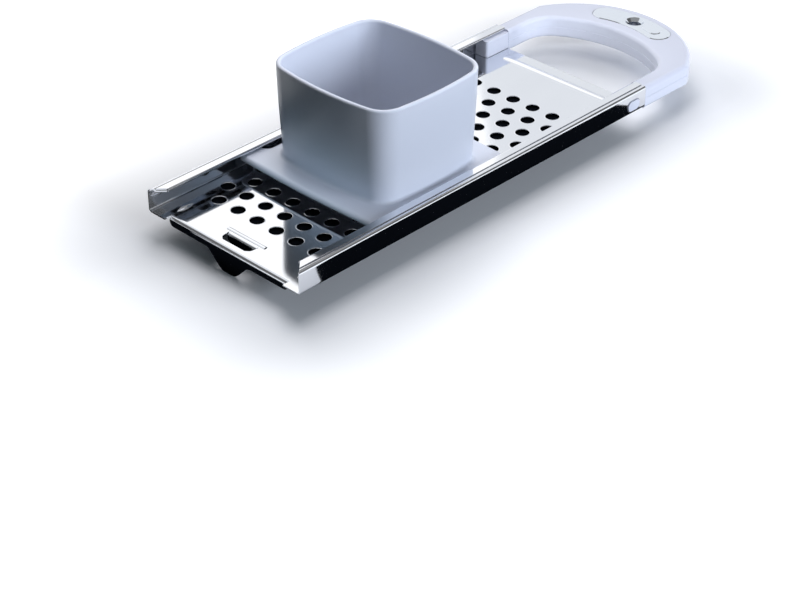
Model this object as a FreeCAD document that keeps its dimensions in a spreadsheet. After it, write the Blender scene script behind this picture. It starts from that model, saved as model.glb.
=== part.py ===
"""Spaetzle maker: a perforated steel plate with folded rails, a dough hopper that slides in the
rails, and a plastic bow handle with a chrome inlay plate.

Every sub-part is drawn from the plate's front edge (X = 0), its middle line (Y = 0) and the top
of its perforated bed (Z = 0), and is then set down by its Placement, so that the whole tool has
its origin under the middle of its bounding box, +X towards the handle and +Z up. Millimetres.
"""

import FreeCAD, Part

import math
import os
import re

from FreeCAD import Vector

DIMENSIONS = {
    # how far cutting tools run past what they cut
    "beyond": 2.0,
    # steel plate and rails
    "sheet_thickness": 0.8,
    "plate_length": 251.5,
    "channel_half_width": 52.7,
    "rail_height": 11.9,
    "foot_bend_radius": 1.0,
    "shoulder_width": 1.1,
    "shoulder_radius": 0.8,
    "joggle_run": 0.65,
    "joggle_radius": 0.3,
    "lip_rise": 0.1,
    "lip_reach": 6.8,
    "hem_height": 2.0,
    "hem_fold_radius": 0.95,
    "hem_return": 4.7,
    "lip_setback": 6.8,
    "lip_mitre_root": 0.6,
    "lip_mitre_tip": 1.0,
    "lip_mitre_radius": 1.5,
    # perforation
    "hole_diameter": 7.5,
    "hole_pitch": 13.75,
    "hole_rows": 16,
    "holes_in_long_row": 7,
    "first_row_from_front": 30.2,
    "perforation_offset": 1.6,
    # front apron and hook
    "corner_flat_width": 10.8,
    "apron_setback": 3.0,
    "apron_depth": 5.2,
    "apron_bend_radius": 2.2,
    "apron_corner_radius": 3.0,
    "hook_depth": 14.6,
    "hook_root_half_width": 14.0,
    "hook_root_radius": 5.0,
    "hook_tip_half_width": 4.6,
    "hook_tip_radius": 8.0,
    # rim catch: a tab lanced from the bed and bent down
    "catch_line_from_front": 12.4,
    "catch_half_width": 10.6,
    "catch_tip_half_width": 5.6,
    "catch_opening": 6.9,
    "catch_depth": 8.2,
    "catch_shoulder": 3.4,
    "catch_taper": 0.6,
    "catch_root_radius": 0.4,
    "catch_corner_radius": 2.0,
    "catch_bend_radius": 1.4,
    "catch_side_gap": 0.5,
    # beads and stops pressed in the bed
    "ridge_from_catch": 3.4,
    "ridge_half_length": 13.2,
    "ridge_width": 2.4,
    "ridge_rise": 0.5,
    "rear_bead_from_rear": 9.5,
    "rear_bead_width": 5.0,
    "rear_bead_rise": 0.9,
    "rear_bead_half_length": 38.0,
    "stop_bump_from_front": 13.8,
    "stop_bump_length": 10.8,
    "stop_bump_rise": 1.2,
    "stop_bump_from_wall": 10.2,
    # snap lugs of the handle and their windows in the rails
    "lug_from_rear": 9.8,
    "lug_length": 9.3,
    "lug_height": 5.6,
    "lug_level": 4.4,
    "lug_root": 2.0,
    "lug_proud": 0.5,
    "lug_clearance": 0.35,
    # hopper: cup
    "hopper_place": 104.4,
    "rim_half_length": 39.0,
    "cup_lip_gap": 3.4,
    "rim_level": 60.6,
    "rim_corner_radius": 14.0,
    "side_bow_radius": 190.0,
    "draft_inset": 2.8,
    "belly_bulge": 0.4,
    "belly_level": 33.4,
    "hopper_wall": 2.6,
    "rim_round": 1.1,
    "running_gap": 0.25,
    # hopper: tray with four ears that run under the rails' lips
    "tray_level": 9.0,
    "tray_thickness": 2.6,
    "tray_front_margin": 11.5,
    "tray_rear_margin": 9.8,
    "tray_side_gap": 1.4,
    "tray_bow": 1.9,
    "tray_bow_radius": 800.0,
    "tray_corner_radius": 3.2,
    "tray_round": 2.3,
    "ear_length": 14.3,
    "waist_margin": 2.4,
    "waist_corner_radius": 3.0,
    "foot_setback": 9.3,
    "foot_length": 4.0,
    "foot_inset": 1.0,
    "cup_foot_fillet": 2.0,
    # handle
    "handle_clearance": 0.2,
    "arm_width": 9.1,
    "arm_length": 17.5,
    "arm_outer_radius": 1.0,
    "arm_inner_radius": 1.5,
    "bow_reach": 70.0,
    "bow_side_inset": 0.1,
    "bow_side_width": 10.2,
    "bow_end_width": 27.6,
    "bow_arch_excess": 5.9,
    "bow_corner_radius": 6.0,
    "loop_arch_excess": 20.3,
    "loop_corner_radius": 18.2,
    "bow_top": 10.9,
    "bow_drop": 1.7,
    "seam_level": 4.6,
    "seam_chamfer": 0.2,
    "top_outer_round": 2.8,
    "top_inner_round": 2.0,
    "bottom_round": 2.0,
    # inlay plate and hanging hole
    "inlay_from_end": 12.9,
    "inlay_bend_radius": 58.0,
    "inlay_half_length": 25.6,
    "inlay_half_width": 7.3,
    "inlay_thickness": 1.3,
    "inlay_proud": 0.35,
    "inlay_clearance": 0.15,
    "inlay_edge": 0.35,
    "hanging_hole_radius": 3.7,
    "dish_radius": 6.0,
    "dish_depth": 1.9,
    "dish_wall": 0.7,
    "badge_length": 13.0,
    "badge_width": 7.4,
    "badge_rise": 0.4,
    "badge_edge": 0.3,
    "badge_root": 0.2,
    "badge_from_hole": 13.0,
}

doc = FreeCAD.newDocument("SpaetzleMaker")
sheet = doc.addObject("Spreadsheet::Sheet", "Dimensions")
for row, (alias, value) in enumerate(DIMENSIONS.items(), start=1):
    sheet.set(f"A{row}", alias)
    sheet.set(f"B{row}", str(value))
    sheet.setAlias(f"B{row}", alias)
doc.recompute()


def size(alias):
    """The value of a driving dimension."""
    return float(sheet.get(alias))


def follow(thing, name, expression):
    """Ties a property to the sheet. The words in the expression are the sheet's aliases."""
    thing.setExpression(name, re.sub("([a-z_]{3,})", r"Dimensions.\1", expression))


# ------------------------------------------------------------------ derived places
ALONG, ACROSS, UP = Vector(1, 0, 0), Vector(0, 1, 0), Vector(0, 0, 1)
HANDS = ((1, "left"), (-1, "right"))
TOUCH = 0.01  # how far apart two places may be and still count as one
beyond = size("beyond")
thickness = size("sheet_thickness")
# rails
wall_inside = size("channel_half_width")
wall_outside = wall_inside + thickness
lip_edge = wall_inside - size("lip_reach")
lip_top = size("rail_height") + size("lip_rise")
lip_underside = lip_top - size("hem_height")
rail_rear = size("plate_length")
lug_place = rail_rear - size("lug_from_rear")
# bed
row_step = size("hole_pitch") * math.sin(math.radians(60))
apron_half_width = wall_inside - size("corner_flat_width")
apron_line = size("apron_setback") + size("apron_bend_radius")
catch_line = size("catch_line_from_front")
ridge_place = catch_line + size("ridge_from_catch")
rear_bead_place = rail_rear - size("rear_bead_from_rear")
stop_line = wall_inside - size("stop_bump_from_wall")
# hopper
rim_half_width = lip_edge - size("cup_lip_gap")
cup_foot_half_length = size("rim_half_length") - size("draft_inset")
tray_front = size("hopper_place") - cup_foot_half_length - size("tray_front_margin")
tray_rear = size("hopper_place") + cup_foot_half_length + size("tray_rear_margin")
tray_side = wall_inside - size("tray_side_gap")
tray_waist = rim_half_width + size("waist_margin")
# handle
bow_start = rail_rear + size("handle_clearance")
bow_end = rail_rear + size("bow_reach")
loop_end = bow_end - size("bow_end_width")
bow_half_width = wall_outside - size("bow_side_inset")
loop_half_width = bow_half_width - size("bow_side_width")
inlay_place = bow_end - size("inlay_from_end")
ORIGIN = Vector(-bow_end / 2, 0, size("hook_depth"))


# ------------------------------------------------------------------ drawing helpers
def rounded_path(corners):
    """Edges of a path through (u, v, radius) corners, each rounded by its own radius."""
    points = [Vector(u, v, 0) for u, v, _ in corners]
    edges = []
    here = points[0]
    for before, corner, after, (_, _, radius) in zip(points, points[1:], points[2:], corners[1:]):
        if radius == 0:
            edges.append(Part.LineSegment(here, corner))
            here = corner
            continue
        incoming = (before - corner).normalize()
        outgoing = (after - corner).normalize()
        half_turn = incoming.getAngle(outgoing) / 2
        trim = radius / math.tan(half_turn)
        start = corner + incoming * trim
        end = corner + outgoing * trim
        bisector = (incoming + outgoing).normalize()
        middle = corner + bisector * (radius / math.sin(half_turn) - radius)
        if (start - here).Length > 1e-6:
            edges.append(Part.LineSegment(here, start))
        edges.append(Part.Arc(start, middle, end))
        here = end
    edges.append(Part.LineSegment(here, points[-1]))
    return edges


def rounded_loop(corners):
    """Edges of a closed outline through (u, v, radius) corners."""
    first, second = corners[0], corners[1]
    middle = ((first[0] + second[0]) / 2, (first[1] + second[1]) / 2, 0)
    return rounded_path([middle] + corners[1:] + [first, middle])


def mirrored_loop(corners):
    """Closed outline from the corners on its +v side, mirrored in v = 0."""
    return rounded_loop(corners + [(u, -v, radius) for u, v, radius in reversed(corners)])


def facing_loop(corners):
    """Closed outline from the corners on its -u side, mirrored in u = 0."""
    return rounded_loop(corners + [(-u, v, radius) for u, v, radius in reversed(corners)])


def bowed_outline(half_u, half_v, side_radius, corner_radius):
    """Rounded rectangle about the origin whose four sides are shallow arcs, as eight arcs."""
    reach = side_radius - corner_radius
    centre_u = Vector(half_u - side_radius, 0, 0)
    centre_v = Vector(0, half_v - side_radius, 0)
    between = centre_v - centre_u
    across = Vector(-between.y, between.x, 0).normalize()
    offset = math.sqrt(reach ** 2 - (between.Length / 2) ** 2)
    corner = centre_u + between / 2 - across * offset
    if corner.x < 0:
        corner = centre_u + between / 2 + across * offset
    end_u = centre_u + (corner - centre_u).normalize() * side_radius
    end_v = centre_v + (corner - centre_v).normalize() * side_radius
    outwards = ((end_u - corner).normalize() + (end_v - corner).normalize()).normalize()
    tip = corner + outwards * corner_radius

    def at(point, sign_u, sign_v):
        return Vector(point.x * sign_u, point.y * sign_v, 0)

    edges = []
    for sign_u, sign_v in ((1, 1), (-1, 1), (-1, -1), (1, -1)):
        corner_arc = [at(end_u, sign_u, sign_v), at(tip, sign_u, sign_v), at(end_v, sign_u, sign_v)]
        if sign_u * sign_v > 0:
            next_side = [at(end_v, sign_u, sign_v), Vector(0, half_v * sign_v, 0)]
            next_side.append(at(end_v, -sign_u, sign_v))
        else:
            corner_arc.reverse()
            next_side = [at(end_u, sign_u, sign_v), Vector(half_u * sign_u, 0, 0)]
            next_side.append(at(end_u, sign_u, -sign_v))
        edges.append(Part.Arc(*corner_arc))
        edges.append(Part.Arc(*next_side))
    return edges


def arch(end, half_width, end_radius, corner_radius):
    """Open D from the rails' ends: a straight side, a corner, the arched end and back again."""
    end_centre = end - end_radius
    corner_v = half_width - corner_radius
    corner_u = end_centre + math.sqrt((end_radius - corner_radius) ** 2 - corner_v ** 2)
    turn = math.atan2(corner_v, corner_u - end_centre)
    join = Vector(end_centre + end_radius * math.cos(turn), end_radius * math.sin(turn), 0)
    lean = (turn + math.pi / 2) / 2
    crown = Vector(corner_u, corner_v, 0) + Vector(math.cos(lean), math.sin(lean), 0) * corner_radius
    side = Vector(corner_u, half_width, 0)

    def flip(point):
        return Vector(point.x, -point.y, 0)

    return [
        Part.LineSegment(Vector(bow_start, half_width, 0), side),
        Part.Arc(side, crown, join),
        Part.Arc(join, Vector(end, 0, 0), flip(join)),
        Part.Arc(flip(join), flip(crown), flip(side)),
        Part.LineSegment(flip(side), Vector(bow_start, -half_width, 0)),
    ]


def bow_outline():
    """The bow seen from above: a U between two arches, closed at the rails' ends."""
    outer = arch(
        bow_end, bow_half_width, bow_half_width + size("bow_arch_excess"), size("bow_corner_radius"),
    )
    inner = arch(
        loop_end, loop_half_width, loop_half_width + size("loop_arch_excess"),
        size("loop_corner_radius"),
    )
    feet = []
    for hand, _ in HANDS:
        outside = Vector(bow_start, hand * bow_half_width, 0)
        inside = Vector(bow_start, hand * loop_half_width, 0)
        feet.append(Part.LineSegment(outside, inside))
    return outer + inner + feet


def bean_outline(half_length, half_width):
    """Pill bent along the bow's arch, about the arch's centre line."""
    radius = size("inlay_bend_radius")
    centre = inlay_place - radius
    spread = math.asin((half_length - half_width) / radius)

    def polar(distance, angle):
        return Vector(centre + distance * math.cos(angle), distance * math.sin(angle), 0)

    outer, inner = radius + half_width, radius - half_width
    cap = polar(radius, spread) + Vector(-math.sin(spread), math.cos(spread), 0) * half_width
    far_cap = Vector(cap.x, -cap.y, 0)
    return [
        Part.Arc(polar(outer, -spread), polar(outer, 0), polar(outer, spread)),
        Part.Arc(polar(outer, spread), cap, polar(inner, spread)),
        Part.Arc(polar(inner, spread), polar(inner, 0), polar(inner, -spread)),
        Part.Arc(polar(inner, -spread), far_cap, polar(outer, -spread)),
    ]


def stadium(centre_u, centre_v, length, width):
    """Slot outline lying along u."""
    low, high = centre_v - width / 2, centre_v + width / 2
    near, far = centre_u - length / 2, centre_u + length / 2
    left, right = near + width / 2, far - width / 2
    return [
        Part.LineSegment(Vector(left, low, 0), Vector(right, low, 0)),
        Part.Arc(Vector(right, low, 0), Vector(far, centre_v, 0), Vector(right, high, 0)),
        Part.LineSegment(Vector(right, high, 0), Vector(left, high, 0)),
        Part.Arc(Vector(left, high, 0), Vector(near, centre_v, 0), Vector(left, low, 0)),
    ]


def hump(station, half_width, base, rise):
    """Closed outline between a low arc and its chord."""
    near, far = Vector(station - half_width, base, 0), Vector(station + half_width, base, 0)
    return [Part.Arc(near, Vector(station, base + rise, 0), far), Part.LineSegment(far, near)]


# Placements that lay a sketch's u, v in the tool's X-Y, Y-Z and X-Z planes.
def plan(level):
    return FreeCAD.Placement(Vector(0, 0, level), FreeCAD.Rotation())


def cross_section(station):
    return FreeCAD.Placement(Vector(station, 0, 0), FreeCAD.Rotation(Vector(1, 1, 1), 120))


def side_view(offset):
    return FreeCAD.Placement(Vector(0, offset, 0), FreeCAD.Rotation(ALONG, 90))


# ------------------------------------------------------------------ solids of the plate and hopper
def sketch(name, edges, placement):
    """A free sketch in the document with these edges."""
    drawn = doc.addObject("Sketcher::SketchObject", name)
    drawn.Placement = placement
    drawn.addGeometry(edges, False)
    return drawn


def extrude(name, edges, placement, direction, length):
    """Solid swept straight from a closed outline, as long as an expression of the sheet says."""
    solid = doc.addObject("Part::Extrusion", name)
    solid.Base = sketch(name + "_outline", edges, placement)
    solid.DirMode = "Custom"
    solid.Dir = direction
    solid.Solid = True
    follow(solid, "LengthFwd", length)
    return solid


def turned(name, edges, axis_point, axis, angle):
    """Solid turned from an outline in the X-Z plane through the axis."""
    solid = doc.addObject("Part::Revolution", name)
    solid.Source = sketch(name + "_outline", edges, side_view(axis_point.y))
    solid.Axis = axis
    solid.Base = axis_point
    solid.Angle = angle
    solid.Symmetric = True
    solid.Solid = True
    return solid


def fuse(name, shapes):
    made = doc.addObject("Part::MultiFuse", name)
    made.Shapes = shapes
    made.Refine = True
    return made


def cut(name, base, tool):
    made = doc.addObject("Part::Cut", name)
    made.Base, made.Tool = base, tool
    made.Refine = True
    return made


def common(name, base, tool):
    made = doc.addObject("Part::Common", name)
    made.Base, made.Tool = base, tool
    made.Refine = True
    return made


def folded_sheet(name, corners, placement, direction, length):
    """Sheet metal: a rounded path along one face with the material on its right, swept square."""
    face = [Vector(u, v, 0) for u, v, _ in corners]
    headings = [(end - start).normalize() for start, end in zip(face, face[1:])]
    rights = [Vector(heading.y, -heading.x, 0) for heading in headings]
    back = [face[0] + rights[0] * thickness]
    radii = [0]
    for corner, before, after, into, (_, _, radius) in zip(
        face[1:], rights, rights[1:], headings, corners[1:]
    ):
        mitre = (before + after) * (thickness / (1 + before.dot(after)))
        back.append(corner + mitre)
        turns_right = into.dot(after) < 0
        radii.append(radius - thickness if turns_right else radius + thickness)
    back.append(face[-1] + rights[-1] * thickness)
    radii.append(0)
    returning = [(point.x, point.y, radius) for point, radius in zip(back, radii)]
    returning.reverse()
    return extrude(name, rounded_loop(corners + returning), placement, direction, length)


def rounded(name, base, chosen):
    """Fillets on the edges that chosen(edge) gives a radius for."""
    doc.recompute()
    made = doc.addObject("Part::Fillet", name)
    made.Base = base
    picked = []
    for number, edge in enumerate(base.Shape.Edges, start=1):
        radius = chosen(edge)
        if radius:
            picked.append((number, radius, radius))
    made.Edges = picked
    return made


def middle_of(edge):
    """The point halfway along an edge."""
    return edge.valueAt((edge.FirstParameter + edge.LastParameter) / 2)


def lies_at(edge, level):
    """Whether an edge is level, at this height."""
    return abs(edge.BoundBox.ZMax - level) < TOUCH and abs(edge.BoundBox.ZMin - level) < TOUCH


# ------------------------------------------------------------------ plate
def rail_corners():
    """Inner face of the +Y rail from the bed outwards: wall, shoulder, joggle, lip and folded hem."""
    ceiling = size("rail_height") - thickness
    joggle = wall_inside - size("shoulder_width")
    fold = size("hem_fold_radius")
    kink = size("joggle_radius")
    return [
        (wall_inside, 0, size("foot_bend_radius")),
        (wall_inside, ceiling, size("shoulder_radius")),
        (joggle, ceiling, kink),
        (joggle - size("joggle_run"), lip_underside, kink + thickness),
        (lip_edge, lip_underside, fold),
        (lip_edge, lip_top, fold),
        (lip_edge + size("hem_return"), lip_top, 0),
    ]


def perforation():
    """Staggered rows of round holes: long and short rows take turns."""
    radius = size("hole_diameter") / 2
    pitch = size("hole_pitch")
    circles = []
    for row in range(int(size("hole_rows"))):
        count = int(size("holes_in_long_row")) - (row + 1) % 2
        station = size("first_row_from_front") + row * row_step
        first = size("perforation_offset") - (count - 1) / 2 * pitch
        for place in range(count):
            circles.append(Part.Circle(Vector(station, first + place * pitch, 0), UP, radius))
    return circles


def through_the_bed(name, outline):
    """Punch that goes right through the bed."""
    return extrude(name, outline, plan(-thickness - beyond), UP, "sheet_thickness + 2 * beyond")


def make_plate():
    """One bent sheet: bed, rails, front apron with its hook, rim catch and pressed beads."""
    right = rail_corners()
    left = [(-y, z, radius) for y, z, radius in reversed(right)]
    channel = folded_sheet("channel", left + right, cross_section(0), ALONG, "plate_length")
    bare = cut("channel_cut", channel, fuse("channel_tools", [
        through_the_bed("holes", perforation()),
        through_the_bed("catch_slot", catch_slot_outline()),
        front_strip(),
        lug_windows(),
        lip_mitre("left_lip_mitre", 1),
        lip_mitre("right_lip_mitre", -1),
    ]))
    raised = [
        pressed_bead("ridge", ridge_place, "ridge"),
        pressed_bead("rear_bead", rear_bead_place, "rear_bead"),
    ]
    pressed_from_below = [
        bead_hollow("ridge_hollow", ridge_place, "ridge"),
        bead_hollow("rear_bead_hollow", rear_bead_place, "rear_bead"),
    ]
    for hand, side in HANDS:
        raised.append(stop_bump(f"{side}_stop_bump", hand))
    formed = fuse("plate_formed", [bare, make_apron(), make_rim_catch()] + raised)
    plate = cut("plate_shape", formed, fuse("bead_hollows", pressed_from_below))
    plate.Label = "plate"
    return plate


def catch_slot_outline():
    """The hole that the rim catch leaves in the bed."""
    waist = catch_line - size("catch_shoulder")
    return mirrored_loop([
        (catch_line + size("catch_bend_radius"), size("catch_half_width"), size("catch_root_radius")),
        (waist, size("catch_half_width") - size("catch_taper"), size("catch_corner_radius")),
        (catch_line - size("catch_opening"), size("catch_tip_half_width"), size("catch_corner_radius")),
    ])


def front_strip():
    """What comes off the bed's front edge to make room for the apron's bend."""
    outline = mirrored_loop([(-beyond, apron_half_width, 0), (apron_line, apron_half_width, 0)])
    return through_the_bed("front_strip", outline)


def lug_windows():
    """Slots through both rails that the handle's lugs snap into."""
    outline = stadium(
        lug_place, size("lug_level"),
        size("lug_length") + 2 * size("lug_clearance"), size("lug_height") + 2 * size("lug_clearance"),
    )
    length = "2 * (channel_half_width + sheet_thickness + beyond)"
    return extrude("lug_windows", outline, side_view(wall_outside + beyond), -ACROSS, length)


def lip_mitre(name, hand):
    """The slanted corner taken off a lip's front end."""
    setback = size("lip_setback")
    outline = [
        (-beyond, wall_outside, 0), (size("lip_mitre_root"), wall_inside, 0),
        (setback, lip_edge + size("lip_mitre_tip"), size("lip_mitre_radius")),
        (setback, lip_edge - beyond, 0), (-beyond, lip_edge - beyond, 0),
    ]
    outline = rounded_loop([(u, hand * v, radius) for u, v, radius in outline])
    height = "hem_height + sheet_thickness + beyond"
    return extrude(name, outline, plan(lip_underside - thickness), UP, height)


def make_apron():
    """The front edge bent down, with the hook that hangs over the pot's rim."""
    back = size("apron_setback") + thickness
    bent = folded_sheet(
        "apron_sheet",
        [
            (apron_line + beyond, -thickness, 0),
            (back, -thickness, size("apron_bend_radius") - thickness),
            (back, -size("hook_depth") - beyond, 0),
        ],
        side_view(apron_half_width), -ACROSS, "2 * (channel_half_width - corner_flat_width)",
    )
    depth = size("apron_depth")
    outline = facing_loop([
        (-apron_half_width, beyond, 0), (-apron_half_width, -depth, size("apron_corner_radius")),
        (-size("hook_root_half_width"), -depth, size("hook_root_radius")),
        (-size("hook_tip_half_width"), -size("hook_depth"), size("hook_tip_radius")),
    ])
    blank = extrude(
        "apron_blank", outline, cross_section(-beyond), ALONG,
        "apron_setback + apron_bend_radius + 3 * beyond",
    )
    return common("apron", bent, blank)


def make_rim_catch():
    """Tab lanced out of its slot and bent down, which catches the rim from inside."""
    bend = size("catch_bend_radius")
    back = catch_line + thickness
    bent = folded_sheet(
        "catch_sheet",
        [
            (catch_line + bend + beyond, -thickness, 0),
            (back, -thickness, bend - thickness),
            (back, -size("catch_depth") - beyond, 0),
        ],
        side_view(size("catch_half_width")), -ACROSS, "2 * catch_half_width",
    )
    root = size("catch_half_width") - size("catch_side_gap")
    corner = size("catch_corner_radius")
    outline = facing_loop([
        (-root, beyond, 0), (-root, -size("catch_shoulder"), corner),
        (-size("catch_tip_half_width"), -size("catch_depth"), corner),
    ])
    blank = extrude(
        "catch_blank", outline, cross_section(catch_line - beyond), ALONG,
        "catch_bend_radius + 3 * beyond",
    )
    return common("catch", bent, blank)


def pressed_bead(name, station, kind):
    """Shallow rib across the bed, with an arc for its section."""
    half_width, half_length = size(f"{kind}_width") / 2, size(f"{kind}_half_length")
    root = -thickness / 2
    near, far = station - half_width, station + half_width
    section = [
        Part.Arc(Vector(near, 0, 0), Vector(station, size(f"{kind}_rise"), 0), Vector(far, 0, 0)),
        Part.LineSegment(Vector(far, 0, 0), Vector(far, root, 0)),
        Part.LineSegment(Vector(far, root, 0), Vector(near, root, 0)),
        Part.LineSegment(Vector(near, root, 0), Vector(near, 0, 0)),
    ]
    return extrude(name, section, side_view(half_length), -ACROSS, f"2 * {kind}_half_length")


def bead_hollow(name, station, kind):
    """The groove that a pressed rib leaves under the bed, one sheet thickness below it."""
    half_length = size(f"{kind}_half_length") - thickness
    section = hump(station, size(f"{kind}_width") / 2, -thickness, size(f"{kind}_rise"))
    length = f"2 * ({kind}_half_length - sheet_thickness)"
    return extrude(name, section, side_view(half_length), -ACROSS, length)


def stop_bump(name, hand):
    """Lens pressed up beside the lip that stops the hopper before the front edge."""
    outline = hump(
        size("stop_bump_from_front"), size("stop_bump_length") / 2, 0, size("stop_bump_rise"),
    )
    return turned(name, outline, Vector(0, hand * stop_line, 0), ALONG, 180)


# ------------------------------------------------------------------ hopper
def tray_outline():
    """The flange round the hopper's foot: slightly bowed ends, and a waist between its four ears."""
    outer, inner = size("tray_corner_radius"), size("waist_corner_radius")
    front, rear = tray_front + size("ear_length"), tray_rear - size("ear_length")
    bow, bow_radius = size("tray_bow"), size("tray_bow_radius")
    side = [
        (tray_rear, tray_side, outer), (rear, tray_side, outer), (rear, tray_waist, inner),
        (front, tray_waist, inner), (front, tray_side, outer), (tray_front, tray_side, outer),
    ]
    other_side = [(u, -v, radius) for u, v, radius in reversed(side)]
    rear_end, front_end = (tray_rear + bow, 0, bow_radius), (tray_front - bow, 0, bow_radius)
    return rounded_loop([rear_end] + side + [front_end] + other_side)


def make_tray():
    """The raised flange, with its top edge rounded all the way round."""
    level = size("tray_level")
    blank = extrude(
        "tray_blank", tray_outline(), plan(level - size("tray_thickness")), UP, "tray_thickness",
    )
    return rounded("tray", blank, lambda edge: size("tray_round") if lies_at(edge, level) else None)


def make_feet():
    """Four feet under the ears, in line with the stop bumps, which bear on the bed."""
    inner = stop_line - size("stop_bump_rise")
    outer = tray_side - size("foot_inset")
    starts = {
        "front": tray_front + size("foot_setback"),
        "rear": tray_rear - size("foot_setback") - size("foot_length"),
    }
    feet = []
    for end, start in starts.items():
        for hand, side in HANDS:
            far = start + size("foot_length")
            corners = [(start, inner, 0), (far, inner, 0), (far, outer, 0), (start, outer, 0)]
            outline = rounded_loop([(u, hand * v, radius) for u, v, radius in corners])
            feet.append(extrude(
                f"{end}_{side}_foot", outline, plan(size("running_gap")), UP,
                "tray_level - tray_thickness / 2 - running_gap",
            ))
    return feet


def cup(name, inset, low, high):
    """Tapered cup between two levels: narrow at the bed, a little bellied, wide at the rim."""
    rim = size("rim_level")
    taper = size("draft_inset") / (rim - size("running_gap"))
    sections = []
    for number, (level, bulge) in enumerate((
        (low, 0), (size("belly_level"), size("belly_bulge")), (high, 0),
    )):
        narrowing = inset + taper * (rim - level) - bulge
        outline = bowed_outline(
            size("rim_half_length") - narrowing, rim_half_width - narrowing,
            size("side_bow_radius"), size("rim_corner_radius") - narrowing,
        )
        place = plan(level)
        place.Base.x = size("hopper_place")
        sections.append(sketch(f"{name}_section_{number}", outline, place))
    lofted = doc.addObject("Part::Loft", name)
    lofted.Sections = sections
    lofted.Solid = True
    lofted.Ruled = False
    return lofted


def make_hopper():
    """Open cup that stands on the bed, with a tray whose four ears run under the rails' lips."""
    floor, rim = size("running_gap"), size("rim_level")
    outside = cup("cup_outside", 0, floor, rim)
    blank = fuse("hopper_blank", [make_tray(), outside] + make_feet())

    def at_foot(edge):
        point = middle_of(edge)
        in_length = abs(point.x - size("hopper_place")) < size("rim_half_length")
        in_width = abs(point.y) < rim_half_width
        at_level = lies_at(edge, size("tray_level"))
        return size("cup_foot_fillet") if at_level and in_length and in_width else None

    footed = rounded("hopper_footed", blank, at_foot)
    inside = cup("cup_inside", size("hopper_wall"), floor - beyond, rim + beyond)
    hollow = cut("hopper_hollow", footed, inside)

    def at_rim(edge):
        return size("rim_round") if lies_at(edge, rim) else None

    hopper = rounded("hopper_shape", hollow, at_rim)
    hopper.Label = "hopper"
    return hopper


# ------------------------------------------------------------------ bodies of the handle
def drawn_on(body, name, edges, role, level=None, offset=Vector(), turn=0):
    """A sketch on one of the body's own planes, at a level above it that the sheet gives."""
    plane = next(feature for feature in body.Origin.OriginFeatures if feature.Role == role)
    drawn = body.newObject("Sketcher::SketchObject", name + "_sketch")
    drawn.AttachmentSupport = [(plane, "")]
    drawn.MapMode = "FlatFace"
    drawn.AttachmentOffset = FreeCAD.Placement(offset, FreeCAD.Rotation(UP, turn))
    if level:
        follow(drawn, "AttachmentOffset.Base.z", level)
    drawn.addGeometry(edges, False)
    return drawn


def straight(body, kind, name, profile, length, reverse=False):
    """A pad or pocket whose length follows the sheet."""
    made = body.newObject("PartDesign::" + kind, name)
    made.Profile = profile
    made.Reversed = reverse
    follow(made, "Length", length)
    return made


def round_the_hole(body, kind, name, corners):
    """A revolution or groove about the hanging hole, from (radius, level) corners."""
    edges = rounded_loop([(radius, level, 0) for radius, level in corners])
    profile = drawn_on(body, name, edges, "XZ_Plane")
    follow(profile, "AttachmentOffset.Base.x", "plate_length + bow_reach - inlay_from_end")
    made = body.newObject("PartDesign::" + kind, name)
    made.Profile = profile
    made.ReferenceAxis = (profile, ["V_Axis"])
    made.Angle = 360
    return made


def edged(body, kind, name, base, chosen, amount):
    """A fillet or chamfer on the edges of a feature that chosen(edge) picks."""
    doc.recompute()
    made = body.newObject("PartDesign::" + kind, name)
    names = [f"Edge{number}" for number, edge in enumerate(base.Shape.Edges, 1) if chosen(edge)]
    made.Base = (base, names)
    follow(made, "Radius" if kind == "Fillet" else "Size", amount)
    return made


def runs_round(edge, level):
    """Whether an edge goes round the bow at this level: those at the rails' ends don't."""
    return lies_at(edge, level) and edge.BoundBox.XMax > bow_start + TOUCH


def is_outer(edge):
    """Whether an edge of the bow is on its outside and not round the finger loop."""
    point = middle_of(edge)
    beside = abs(point.y) > loop_half_width + size("bow_side_width") / 2
    return beside or point.x > loop_end + size("bow_end_width") / 2


def dish(radius, throat, top, room, floor):
    """Section of a funnel below a level: a cone down to its throat, a straight neck and room above."""
    neck = top - size("dish_depth")
    mouth = [(0, top + room), (radius, top + room), (radius, top)]
    return mouth + [(throat, neck), (throat, floor), (0, floor)]


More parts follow.
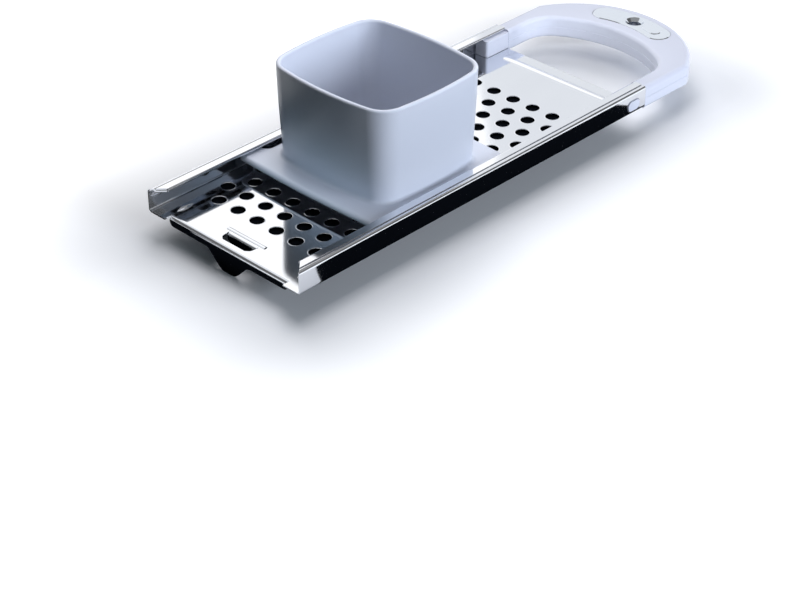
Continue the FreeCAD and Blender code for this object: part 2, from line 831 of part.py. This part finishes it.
# ------------------------------------------------------------------ handle
def make_lower_shell():
    """Lower half of the bow, with the arms that fill the rails' ends and their snap lugs."""
    body = doc.addObject("PartDesign::Body", "handle_lower_shell")
    bottom, seam = -size("bow_drop"), size("seam_level")
    profile = drawn_on(body, "lower_ring", bow_outline(), "XY_Plane", "-bow_drop")
    ring = straight(body, "Pad", "lower_ring", profile, "seam_level + bow_drop")
    soft = edged(
        body, "Fillet", "lower_rounds", ring, lambda edge: runs_round(edge, bottom), "bottom_round",
    )
    edged(body, "Chamfer", "lower_seam", soft, lambda edge: runs_round(edge, seam), "seam_chamfer")

    outside = wall_inside - size("handle_clearance")
    inside = outside - size("arm_width")
    front = rail_rear - size("arm_length")
    arms = []
    for hand, _ in HANDS:
        arms += rounded_loop([
            (bow_start, hand * outside, 0), (front, hand * outside, size("arm_outer_radius")),
            (front, hand * inside, size("arm_inner_radius")), (bow_start, hand * inside, 0),
        ])
    profile = drawn_on(body, "arms", arms, "XY_Plane", "handle_clearance")
    straight(body, "Pad", "arms", profile, "rail_height + lip_rise - hem_height - 2 * handle_clearance")
    lug = stadium(lug_place, size("lug_level"), size("lug_length"), size("lug_height"))
    for hand, side in HANDS:
        level = f"{-hand} * (channel_half_width - handle_clearance - lug_root)"
        profile = drawn_on(body, f"{side}_lug", lug, "XZ_Plane", level)
        length = "lug_root + handle_clearance + sheet_thickness + lug_proud"
        straight(body, "Pad", f"{side}_lug", profile, length, reverse=hand > 0)

    circle = [Part.Circle(Vector(inlay_place, 0, 0), UP, size("hanging_hole_radius"))]
    profile = drawn_on(body, "lower_hanging_hole", circle, "XY_Plane", "seam_level")
    straight(body, "Pocket", "lower_hanging_hole", profile, "seam_level + bow_drop + beyond")
    return body


def make_upper_shell():
    """Top half of the bow, with the seat of the inlay plate."""
    body = doc.addObject("PartDesign::Body", "handle_upper_shell")
    top, seam = size("bow_top"), size("seam_level")
    profile = drawn_on(body, "upper_ring", bow_outline(), "XY_Plane", "seam_level")
    ring = straight(body, "Pad", "upper_ring", profile, "bow_top - seam_level")
    outer = edged(
        body, "Fillet", "upper_outer_round", ring,
        lambda edge: runs_round(edge, top) and is_outer(edge), "top_outer_round",
    )
    inner = edged(
        body, "Fillet", "upper_inner_round", outer,
        lambda edge: runs_round(edge, top) and not is_outer(edge), "top_inner_round",
    )
    edged(body, "Chamfer", "upper_seam", inner, lambda edge: runs_round(edge, seam), "seam_chamfer")

    clearance = size("inlay_clearance")
    seat = bean_outline(size("inlay_half_length") + clearance, size("inlay_half_width") + clearance)
    profile = drawn_on(body, "inlay_seat", seat, "XY_Plane", "bow_top")
    straight(body, "Pocket", "inlay_seat", profile, "inlay_thickness - inlay_proud + inlay_clearance")
    seat_level = top - size("inlay_thickness") + size("inlay_proud") - clearance
    throat = size("hanging_hole_radius") + size("dish_wall") + clearance
    funnel = dish(size("dish_radius") + clearance, throat, seat_level, beyond, seam - beyond)
    round_the_hole(body, "Groove", "upper_funnel", funnel)
    return body


def make_inlay():
    """Chrome plate with a dished eye round the hanging hole and a blank raised badge."""
    body = doc.addObject("PartDesign::Body", "handle_inlay")
    top = size("bow_top") + size("inlay_proud")
    low = top - size("inlay_thickness")
    bean = bean_outline(size("inlay_half_length"), size("inlay_half_width"))
    profile = drawn_on(body, "inlay_plate", bean, "XY_Plane", "bow_top + inlay_proud - inlay_thickness")
    plate = straight(body, "Pad", "inlay_plate", profile, "inlay_thickness")
    edged(body, "Chamfer", "inlay_chamfer", plate, lambda edge: lies_at(edge, top), "inlay_edge")

    radius = size("inlay_bend_radius")
    lean = size("badge_from_hole") / radius
    centre = Vector(inlay_place - radius + radius * math.cos(lean), -radius * math.sin(lean), 0)
    profile = drawn_on(
        body, "badge", stadium(0, 0, size("badge_length"), size("badge_width")), "XY_Plane",
        "bow_top + inlay_proud - badge_root", centre, 90 - math.degrees(lean),
    )
    badge = straight(body, "Pad", "badge", profile, "badge_root + badge_rise")
    badge_top = top + size("badge_rise")
    edged(body, "Chamfer", "badge_chamfer", badge, lambda edge: lies_at(edge, badge_top), "badge_edge")

    throat, wall = size("hanging_hole_radius"), size("dish_wall")
    eye = dish(size("dish_radius"), throat + wall, low, size("inlay_thickness") / 2, size("seam_level"))
    round_the_hole(body, "Revolution", "inlay_eye", eye)
    bore = dish(size("dish_radius") - wall, throat, top, beyond, size("seam_level") - beyond)
    round_the_hole(body, "Groove", "inlay_bore", bore)
    return body


sub_parts = [make_plate(), make_hopper(), make_lower_shell(), make_upper_shell(), make_inlay()]
for sub_part in sub_parts:
    sub_part.Placement = FreeCAD.Placement(ORIGIN, FreeCAD.Rotation())
doc.recompute()

for thing in doc.Objects:
    if "Invalid" in thing.State or "Error" in thing.State:
        raise RuntimeError(f"{thing.Name} failed: {thing.State}")
os.makedirs("parts", exist_ok=True)
for sub_part in sub_parts:
    shape = sub_part.Shape
    if shape.isNull() or not shape.isValid() or len(shape.Solids) != 1:
        raise RuntimeError(f"{sub_part.Label} is not one valid solid")
    shape.exportStep(f"parts/{sub_part.Label}.step")
    print(sub_part.Label, round(shape.Volume, 1), shape.BoundBox)
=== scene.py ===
"""Spaetzle maker, dressed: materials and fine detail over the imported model, studio and camera."""

import math

import bpy
from mathutils import Matrix, Vector


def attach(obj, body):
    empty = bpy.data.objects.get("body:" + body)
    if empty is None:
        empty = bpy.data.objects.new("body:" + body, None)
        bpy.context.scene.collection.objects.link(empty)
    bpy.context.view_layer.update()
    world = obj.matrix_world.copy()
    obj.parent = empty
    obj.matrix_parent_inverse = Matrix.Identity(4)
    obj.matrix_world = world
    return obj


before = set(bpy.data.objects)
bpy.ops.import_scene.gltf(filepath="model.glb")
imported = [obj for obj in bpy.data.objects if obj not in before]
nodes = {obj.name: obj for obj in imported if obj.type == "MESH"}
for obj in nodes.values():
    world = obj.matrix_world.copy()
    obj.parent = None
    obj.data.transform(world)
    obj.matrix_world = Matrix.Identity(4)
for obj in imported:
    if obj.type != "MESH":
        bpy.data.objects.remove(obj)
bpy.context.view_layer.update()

MM = 0.001
WHITE = (1, 1, 1)
# where the middle of the plate's front edge, on top of its bed, lies in the model's frame
BED_FRONT = Vector((-160.75, 0.0, 14.6)) * MM


def from_bed(x, y, z):
    """A place measured in millimetres from the middle of the bed's front edge."""
    return BED_FRONT + Vector((x, y, z)) * MM


# ------------------------------------------------------------------ camera
CAMERA_PLACE = from_bed(-527.44, -630.01, 519.08)
CAMERA_AZIMUTH = math.radians(-45.303)
CAMERA_ELEVATION = math.radians(34.122)
CAMERA_ROLL = math.radians(-0.256)
FOCAL_PIXELS = 2047.9
PICTURE_WIDTH, PICTURE_HEIGHT = 800, 600
# the pixel that the camera's axis goes through
AXIS_PIXEL = (384.93, 311.76)
SENSOR_WIDTH = 36.0
CLIP_START, CLIP_END = 0.05, 20.0


def add_camera():
    """The camera at its place and angle, shifted so that its axis goes through its own pixel."""
    data = bpy.data.cameras.new("camera")
    camera = bpy.data.objects.new("camera", data)
    bpy.context.scene.collection.objects.link(camera)
    turn = Matrix.Rotation(CAMERA_AZIMUTH, 4, "Z")
    turn @= Matrix.Rotation(math.pi / 2 - CAMERA_ELEVATION, 4, "X")
    turn @= Matrix.Rotation(CAMERA_ROLL, 4, "Z")
    camera.matrix_world = Matrix.Translation(CAMERA_PLACE) @ turn
    data.sensor_width = SENSOR_WIDTH
    data.lens = FOCAL_PIXELS * SENSOR_WIDTH / PICTURE_WIDTH
    data.shift_x = (PICTURE_WIDTH / 2 - AXIS_PIXEL[0]) / PICTURE_WIDTH
    data.shift_y = (AXIS_PIXEL[1] - PICTURE_HEIGHT / 2) / PICTURE_WIDTH
    data.clip_start = CLIP_START
    data.clip_end = CLIP_END
    bpy.context.scene.camera = camera


# ------------------------------------------------------------------ materials
# how fine each pattern is, in steps per metre along X, Y and Z
ROLLING_GRAIN = (60, 2400, 2400)
SMEARS = (30, 45, 45)
MOTTLE = (90, 90, 90)
MOULDED_SKIN = (1800, 1800, 1800)
PLASTIC_IOR = 1.49
EDGE_SAMPLES = 4


def new_material(name):
    """A material with its node tree and its shader."""
    material = bpy.data.materials.new(name)
    material.use_nodes = True
    tree = material.node_tree
    return material, tree, tree.nodes["Principled BSDF"]


def noise(tree, scale, detail, roughness):
    """Noise over the object's own coordinates, drawn out by a scale in each direction."""
    coordinates = tree.nodes.new("ShaderNodeTexCoord")
    mapping = tree.nodes.new("ShaderNodeMapping")
    mapping.inputs["Scale"].default_value = scale
    tree.links.new(coordinates.outputs["Object"], mapping.inputs["Vector"])
    node = tree.nodes.new("ShaderNodeTexNoise")
    node.inputs["Scale"].default_value = 1.0
    node.inputs["Detail"].default_value = detail
    node.inputs["Roughness"].default_value = roughness
    tree.links.new(mapping.outputs["Vector"], node.inputs["Vector"])
    return node.outputs["Fac"]


def ranged(tree, factor, low, high):
    """Factor spread over low to high."""
    node = tree.nodes.new("ShaderNodeMapRange")
    node.inputs["To Min"].default_value = low
    node.inputs["To Max"].default_value = high
    tree.links.new(factor, node.inputs["Value"])
    return node.outputs["Result"]


def blended_colour(tree, factor, first, second):
    """The first colour where the factor is 0 and the second where it is 1."""
    node = tree.nodes.new("ShaderNodeMix")
    node.data_type = "RGBA"
    node.inputs["A"].default_value = (*first, 1)
    node.inputs["B"].default_value = (*second, 1)
    tree.links.new(factor, node.inputs["Factor"])
    return node.outputs["Result"]


def bumped(tree, shader, height, depth, edge=None):
    """Bump from a height, over normals that an edge radius softens at sharp corners."""
    node = tree.nodes.new("ShaderNodeBump")
    node.inputs["Strength"].default_value = 1.0
    node.inputs["Distance"].default_value = depth
    tree.links.new(height, node.inputs["Height"])
    if edge:
        soft = tree.nodes.new("ShaderNodeBevel")
        soft.samples = EDGE_SAMPLES
        soft.inputs["Radius"].default_value = edge
        tree.links.new(soft.outputs["Normal"], node.inputs["Normal"])
    tree.links.new(node.outputs["Normal"], shader.inputs["Normal"])


def steel_material(name, bright, tint, dull, grain, edge):
    """Polished sheet steel: rolling grain along X, faint smears and softened edges."""
    material, tree, shader = new_material(name)
    shader.inputs["Metallic"].default_value = 1.0
    along = noise(tree, ROLLING_GRAIN, detail=4.0, roughness=0.6)
    smear = noise(tree, SMEARS, detail=2.0, roughness=0.5)
    tree.links.new(blended_colour(tree, smear, bright, tint), shader.inputs["Base Color"])
    tree.links.new(ranged(tree, smear, *dull), shader.inputs["Roughness"])
    bumped(tree, shader, along, grain, edge)
    return material


def plastic_material(name, colour, shade, gloss, skin):
    """Moulded plastic: barely mottled colour, satin sheen and a fine moulded skin."""
    material, tree, shader = new_material(name)
    mottle = noise(tree, MOTTLE, detail=6.0, roughness=0.7)
    moulded = noise(tree, MOULDED_SKIN, detail=2.0, roughness=0.6)
    tree.links.new(blended_colour(tree, mottle, colour, shade), shader.inputs["Base Color"])
    tree.links.new(ranged(tree, mottle, *gloss), shader.inputs["Roughness"])
    shader.inputs["IOR"].default_value = PLASTIC_IOR
    bumped(tree, shader, moulded, skin)
    return material


def dress(node, material):
    """The CAD node takes this material."""
    slots = nodes[node].material_slots
    if not slots:
        nodes[node].data.materials.append(material)
    for slot in slots:
        slot.material = material


# ------------------------------------------------------------------ mesh helpers
def mesh_object(name, vertices, faces, material):
    """A smooth-shaded mesh in the scene, from its points and faces."""
    mesh = bpy.data.meshes.new(name)
    mesh.from_pydata(vertices, [], faces)
    mesh.validate()
    for polygon in mesh.polygons:
        polygon.use_smooth = True
    mesh.materials.append(material)
    made = bpy.data.objects.new(name, mesh)
    bpy.context.scene.collection.objects.link(made)
    return made


def level_sheet(name, half_length, half_width, material):
    """A flat sheet about the origin, facing up."""
    signs = ((-1, -1), (1, -1), (1, 1), (-1, 1))
    corners = [Vector((x * half_length, y * half_width, 0)) for x, y in signs]
    return mesh_object(name, corners, [(0, 1, 2, 3)], material)


def circle(middle, radius, steps):
    """Points round a level circle, with the radius in the same unit as the middle."""
    turns = [2 * math.pi * step / steps for step in range(steps)]
    return [middle + Vector((math.cos(turn), math.sin(turn), 0)) * radius for turn in turns]


# ------------------------------------------------------------------ rims of the holes
# the perforation, in millimetres: its triangular pitch, its rows and where they lie on the bed
HOLE_PITCH = 13.75
HOLE_ROWS = 16
HOLES_IN_LONG_ROW = 7
FIRST_ROW = 30.2
FIELD_OFFSET = 1.6
ROW_STEP = HOLE_PITCH * math.sin(math.radians(60))
# radius and height of the rolled edge in millimetres, from the bed round into the hole
RIM_PROFILE = (
    (4.25, 0.005), (4.12, 0.04), (3.98, 0.05), (3.85, 0.0),
    (3.76, -0.10), (3.71, -0.30), (3.71, -0.62),
)
RIM_SEGMENTS = 40


def hole_centres():
    """How far along and across the bed each hole lies, row by row from the front."""
    for row in range(HOLE_ROWS):
        count = HOLES_IN_LONG_ROW - (row + 1) % 2
        for place in range(count):
            yield FIRST_ROW + row * ROW_STEP, (place - (count - 1) / 2) * HOLE_PITCH + FIELD_OFFSET


def add_hole_rims(material):
    """The bright rolled edge that punching leaves round each hole, as one piece."""
    vertices, faces = [], []
    for along, across in hole_centres():
        first = len(vertices)
        for radius, height in RIM_PROFILE:
            for step in range(RIM_SEGMENTS):
                turn = 2 * math.pi * step / RIM_SEGMENTS
                place = from_bed(along + radius * math.cos(turn), across + radius * math.sin(turn), height)
                vertices.append(place)
        for ring in range(len(RIM_PROFILE) - 1):
            low = first + ring * RIM_SEGMENTS
            high = low + RIM_SEGMENTS
            for step in range(RIM_SEGMENTS):
                after = (step + 1) % RIM_SEGMENTS
                faces.append((low + step, low + after, high + after, high + step))
    rims = mesh_object("hole_rims", vertices, faces, material)
    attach(rims, "plate_and_handle")


# ------------------------------------------------------------------ studio
# the world's colour in reflections, and the colour and strength of the light that it gives
BACKDROP = (0.94, 0.965, 1.0)
BOUNCE = (0.62, 0.86, 1.0)
AMBIENT = 0.05
# half the floor's side in metres, its colour, and the near-black colour of the light it throws back up in
# front of the handle, a painted shade that keeps the cup's front dark
FLOOR_HALF = 6.0
FLOOR_COLOUR = (0.90, 0.90, 0.91)
FLOOR_PAINTED_SHADE = (0.01, 0.01, 0.01)
# beyond this outline round the object the floor glows more and more, where it is seen directly
OUTLINE_HALF_LENGTH = 0.15
OUTLINE_HALF_WIDTH = 0.045
LIFT_REACH = 0.10
FLOOR_LIFT = 0.60
# beyond this place along X the floor throws light back up
BOUNCE_STARTS = 0.07
# a black disc where the pot's mouth would be, just above the floor, a painted reflection seen only in the
# steel
POT_LEVEL = -14.3
POT_MIDDLE = from_bed(150, 0, POT_LEVEL)
POT_RADIUS = 0.14
POT_STEPS = 64
CARD_COLOUR = (0.004, 0.005, 0.007)
# what the lamps and the standing cards face
MIDDLE = from_bed(130, 0, 20)


def calculated(tree, operation, *terms):
    """One step of arithmetic on node outputs and numbers."""
    node = tree.nodes.new("ShaderNodeMath")
    node.operation = operation
    for place, term in enumerate(terms):
        if isinstance(term, (int, float)):
            node.inputs[place].default_value = term
        else:
            tree.links.new(term, node.inputs[place])
    return node.outputs["Value"]


def seen_directly(tree):
    """1 where the camera sees the surface, itself or in a mirror, and 0 for the light it gives."""
    path = tree.nodes.new("ShaderNodeLightPath").outputs
    straight = calculated(tree, "MAXIMUM", path["Is Camera Ray"], path["Is Glossy Ray"])
    straight = calculated(tree, "MAXIMUM", straight, path["Is Transmission Ray"])
    return calculated(tree, "MULTIPLY", straight, calculated(tree, "LESS_THAN", path["Diffuse Depth"], 0.5))


def beyond_outline(tree, place):
    """How far a place on the floor, split into X, Y and Z, lies outside the object's outline."""
    joined = tree.nodes.new("ShaderNodeCombineXYZ")
    for axis, reach in (("X", OUTLINE_HALF_LENGTH), ("Y", OUTLINE_HALF_WIDTH)):
        out = calculated(tree, "SUBTRACT", calculated(tree, "ABSOLUTE", place[axis]), reach)
        tree.links.new(calculated(tree, "MAXIMUM", out, 0.0), joined.inputs[axis])
    length = tree.nodes.new("ShaderNodeVectorMath")
    length.operation = "LENGTH"
    tree.links.new(joined.outputs["Vector"], length.inputs[0])
    return length.outputs["Value"]


def floor_material():
    """Pale where it lights and shades, glowing to white away from the object where it is seen directly, and
    near black, a painted shade, for the light it throws back up in front of the handle.
    """
    material, tree, shader = new_material("floor")
    shader.inputs["Roughness"].default_value = 0.6
    shader.inputs["Specular IOR Level"].default_value = 0.1
    shader.inputs["Emission Color"].default_value = (*WHITE, 1)
    coordinates = tree.nodes.new("ShaderNodeTexCoord")
    split = tree.nodes.new("ShaderNodeSeparateXYZ")
    tree.links.new(coordinates.outputs["Object"], split.inputs["Vector"])
    seen = seen_directly(tree)
    lift = tree.nodes.new("ShaderNodeMapRange")
    lift.interpolation_type = "SMOOTHSTEP"
    lift.inputs["From Max"].default_value = LIFT_REACH
    lift.inputs["To Max"].default_value = FLOOR_LIFT
    tree.links.new(beyond_outline(tree, split.outputs), lift.inputs["Value"])
    glow = calculated(tree, "MULTIPLY", lift.outputs["Result"], seen)
    tree.links.new(glow, shader.inputs["Emission Strength"])
    # painted shade: in front of the handle the floor throws no light back up, so the cup's front stays dark
    in_front = calculated(tree, "LESS_THAN", split.outputs["X"], BOUNCE_STARTS)
    painted_shade = calculated(tree, "MULTIPLY", in_front, calculated(tree, "SUBTRACT", 1.0, seen))
    tree.links.new(blended_colour(tree, painted_shade, FLOOR_COLOUR, FLOOR_PAINTED_SHADE), shader.inputs["Base Color"])
    return material


def add_floor():
    """The level floor, which carries the object's shadow."""
    level_sheet("floor", FLOOR_HALF, FLOOR_HALF, floor_material())


def add_world():
    """White surroundings for the camera, near white in reflections, a dim blue for the light they give."""
    world = bpy.data.worlds.new("studio")
    world.use_nodes = True
    bpy.context.scene.world = world
    tree = world.node_tree
    background = tree.nodes["Background"]
    path = tree.nodes.new("ShaderNodeLightPath").outputs
    seen = seen_directly(tree)
    shown = blended_colour(tree, path["Is Camera Ray"], BACKDROP, WHITE)
    colour = blended_colour(tree, seen, BOUNCE, WHITE)
    tree.links.new(shown, colour.node.inputs["B"])
    tree.links.new(colour, background.inputs["Color"])
    tree.links.new(ranged(tree, seen, AMBIENT, 1.0), background.inputs["Strength"])


def add_lamp(name, place, target, size, power, colour):
    """A soft lamp that reflections don't show. Places and sizes are in metres, the power in watts."""
    data = bpy.data.lights.new(name, "AREA")
    data.shape = "RECTANGLE"
    data.size, data.size_y = size
    data.energy = power
    data.color = colour
    lamp = bpy.data.objects.new(name, data)
    bpy.context.scene.collection.objects.link(lamp)
    lamp.location = place
    lamp.rotation_euler = (Vector(target) - Vector(place)).to_track_quat("-Z", "Y").to_euler()
    lamp.visible_glossy = False


def hidden_stage(thing, *shown):
    """A stage piece that only the named kinds of ray see."""
    for kind in ("camera", "diffuse", "glossy", "transmission", "volume_scatter", "shadow"):
        setattr(thing, "visible_" + kind, kind in shown)


def card_material(name, glow, colour=WHITE):
    """Black and dull, with light of its own where glow is above 0."""
    material, tree, shader = new_material(name)
    shader.inputs["Base Color"].default_value = (*CARD_COLOUR, 1)
    shader.inputs["Roughness"].default_value = 1.0
    shader.inputs["Specular IOR Level"].default_value = 0.0
    shader.inputs["Emission Color"].default_value = (*colour, 1)
    shader.inputs["Emission Strength"].default_value = glow
    return material


def add_standing_card(name, place, target, size, glow):
    """A card in the air that only reflections see, dark or bright by its glow, sized in metres."""
    card = level_sheet(name, size[0] / 2, size[1] / 2, card_material(name, glow))
    facing = (Vector(target) - Vector(place)).to_track_quat("Z", "Y").to_matrix().to_4x4()
    card.matrix_world = Matrix.Translation(Vector(place)) @ facing
    hidden_stage(card, "glossy")


def add_near_card(name, along, across, up, shown, glow=0.0, colour=WHITE):
    """A card by the bed, level or upright along Y, over spans in millimetres, for the named kinds of ray."""
    low, high = (from_bed(*ends) for ends in zip(along, across, up))
    corners = [low, Vector((low.x, high.y, low.z)), high, Vector((high.x, low.y, high.z))]
    card = mesh_object(name, corners, [(0, 1, 2, 3)], card_material(name, glow, colour))
    hidden_stage(card, *shown)


def add_lamps():
    """Light from the side and the back, and a little from above the rear bed."""
    add_lamp("side", place=(0.17, -1.50, 0.46), target=MIDDLE,
             size=(1.0, 0.6), power=21.6, colour=(0.81, 0.885, 1.0))
    add_lamp("back", place=(0.52, 0.52, 0.92), target=MIDDLE,
             size=(0.9, 0.9), power=7.5, colour=(0.95, 0.96, 1.0))
    add_lamp("overhead", place=from_bed(140, 0, 420), target=from_bed(200, 0, 0),
             size=(0.16, 0.24), power=0.57, colour=(0.97, 0.96, 1.0))


def add_pot_mouth():
    """Painted reflections: a black disc for the pot's dark mouth below the plate and black cards for the
    darkness beside it, seen in reflections alone.
    """
    ring = circle(POT_MIDDLE, POT_RADIUS, POT_STEPS)
    mouth = mesh_object("pot_mouth", ring, [tuple(range(POT_STEPS))], card_material("pot_mouth", 0.0))
    hidden_stage(mouth, "glossy")
    level = (POT_LEVEL, POT_LEVEL)
    add_near_card("pot_side", along=(-14, 9), across=(-50, 50), up=level, shown=["glossy"])
    add_near_card("far_side", along=(-130, 70), across=(45, 122), up=level, shown=["glossy"])


def add_light_cards():
    """For diffuse light alone: a shade over the bed's front, a glow before the cup and one in the loop."""
    add_near_card("bed_card", along=(2, 56), across=(-46, 46), up=(1.5, 1.5), shown=["diffuse"])
    add_near_card("foot_card", along=(45, 45), across=(-40, 40), up=(11, 21), shown=["diffuse"],
                  glow=0.7, colour=(0.62, 0.84, 1.0))
    add_near_card("loop_card", along=(256, 256), across=(-33, 33), up=(13, 34), shown=["diffuse"],
                  glow=2.3, colour=(0.93, 0.98, 1.0))


def add_darkness_below():
    """Painted shade: a black card under the handle's eye that darkens its throat, and a black sheet close
    under the bed that the holes show black.
    """
    # painted shade: black card that darkens the eye's throat from below
    add_near_card("eye_card", along=(302, 315), across=(-7, 7), up=(0, 0),
                  shown=["glossy", "diffuse", "shadow"])
    # painted shade: black sheet under the bed, seen black through the holes
    add_near_card("painted_shade_under_bed", along=(13.5, 249), across=(-51, 51), up=(-1.6, -1.6),
                  shown=["camera", "diffuse", "glossy", "shadow"])


def add_standing_cards():
    """What is mirrored from round the object: grey cards that hold it dark, and a bright white one."""
    add_standing_card("grey_card", place=(0.50, -0.52, 0.46), target=MIDDLE, size=(0.75, 0.50), glow=0.12)
    add_standing_card("low_card", place=from_bed(-330, 360, 190), target=from_bed(0, 0, 0),
                      size=(0.55, 0.42), glow=0.16)
    add_standing_card("top_card", place=(-0.02, -0.12, 0.60), target=(-0.02, -0.12, 0.0),
                      size=(0.9, 0.9), glow=0.32)
    add_standing_card("white_card", place=(0.32, 0.62, 0.56), target=MIDDLE, size=(0.62, 0.60), glow=1.35)


def add_studio():
    add_world()
    add_floor()
    add_lamps()
    add_pot_mouth()
    add_light_cards()
    add_darkness_below()
    add_standing_cards()


# ------------------------------------------------------------------ the dressed object
# lengths such as grain, edge and skin are in metres
steel = steel_material(
    "polished_steel", bright=(0.80, 0.815, 0.845), tint=(0.75, 0.765, 0.80),
    dull=(0.035, 0.09), grain=0.000004, edge=0.00018)
chrome = steel_material(
    "chrome_plate", bright=(0.79, 0.825, 0.875), tint=(0.745, 0.785, 0.84),
    dull=(0.05, 0.12), grain=0.000002, edge=0.00015)
cup_plastic = plastic_material(
    "hopper_plastic", colour=(0.782, 0.812, 0.905), shade=(0.768, 0.798, 0.895),
    gloss=(0.274, 0.286), skin=0.000005)
grip_plastic = plastic_material(
    "handle_plastic", colour=(0.728, 0.745, 0.845), shade=(0.712, 0.73, 0.835),
    gloss=(0.24, 0.252), skin=0.000005)

dress("plate", steel)
dress("hopper", cup_plastic)
dress("handle_lower_shell", grip_plastic)
dress("handle_upper_shell", grip_plastic)
dress("handle_inlay", chrome)
add_hole_rims(steel)
add_studio()
add_camera()
bpy.context.scene.view_settings.view_transform = "Standard"
